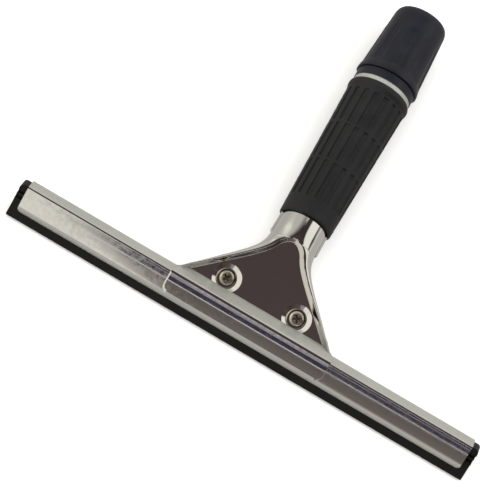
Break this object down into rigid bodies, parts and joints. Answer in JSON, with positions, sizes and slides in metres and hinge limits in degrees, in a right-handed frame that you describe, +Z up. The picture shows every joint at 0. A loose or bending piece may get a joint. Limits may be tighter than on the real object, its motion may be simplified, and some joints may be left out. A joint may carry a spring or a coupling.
{
  "type": "window squeegee",
  "caption": "Window squeegee: rubber blade in a long metal channel, clamped in a stamped yoke on a rubber-gripped handle with a fluted pole lock at its end.",
  "frame": {"origin": "middle of the object's footprint, on the table that it lies on", "axes": "+X along the channel, +Y along the handle towards the pole socket, +Z up out of the table; the front face looks up"},
  "size_m": [0.258, 0.1962, 0.0336],
  "materials": {
    "channel_steel": "polished stainless strip",
    "yoke_steel": "polished stainless sheet",
    "plate_steel": "satin stainless sheet",
    "screw_steel": "bright zinc-plated",
    "washer_steel": "dull plated",
    "blade_rubber": "smooth natural rubber, satin",
    "grip_rubber": "matte moulded rubber",
    "insert_plastic": "fine matte",
    "collar_plastic": "satin moulded",
    "ring_plastic": "fine matte"
  },
  "bodies": {
    "handle": {"front_yoke": "yoke_steel", "handle_tube": "yoke_steel", "rubber_grip": "grip_rubber", "pole_insert": "insert_plastic", "left_washer": "washer_steel", "right_washer": "washer_steel"},
    "channel_body": {"channel": "channel_steel"},
    "blade": {"rubber_blade": "blade_rubber"},
    "rear_jaw": {"rear_jaw_plate": "plate_steel", "left_nut": "screw_steel", "right_nut": "screw_steel"},
    "left_screw_body": {"left_screw": "screw_steel"},
    "right_screw_body": {"right_screw": "screw_steel"},
    "wedge": {"wedge_ring": "ring_plastic"},
    "collar": {"lock_collar": "collar_plastic"}
  },
  "joints": [
    {"name": "channel_slide", "type": "slide", "parent": "handle", "child": "channel_body", "axis": [1, 0, 0], "range_m": [-0.08, 0.08]},
    {"name": "blade_slide", "type": "slide", "parent": "channel_body", "child": "blade", "axis": [1, 0, 0], "range_m": [-0.12, 0.12]},
    {"name": "left_screw_turn", "type": "hinge", "parent": "handle", "child": "left_screw_body", "pos_m": [-0.0198, -0.07221, 0.01182], "axis": [0, -0.342, 0.9397], "range_deg": [0, 720]},
    {"name": "right_screw_turn", "type": "hinge", "parent": "handle", "child": "right_screw_body", "pos_m": [0.0198, -0.07221, 0.01182], "axis": [0, -0.342, 0.9397], "range_deg": [0, 720]},
    {"name": "rear_jaw_open", "type": "slide", "parent": "handle", "child": "rear_jaw", "axis": [0, 0.342, -0.9397], "range_m": [0, 0.0014]},
    {"name": "collar_travel", "type": "slide", "parent": "handle", "child": "wedge", "axis": [0, 1, 0], "range_m": [0, 0.003]},
    {"name": "collar_turn", "type": "hinge", "parent": "wedge", "child": "collar", "pos_m": [0, 0, 0.0168], "axis": [0, 1, 0], "range_deg": [0, 360]}
  ],
  "couplings": [
    {"joint": "left_screw_turn", "follows": "rear_jaw_open", "rad_per_m": 8976},
    {"joint": "right_screw_turn", "follows": "rear_jaw_open", "rad_per_m": 8976},
    {"joint": "collar_travel", "follows": "collar_turn", "m_per_rad": 0.00047746}
  ]
}
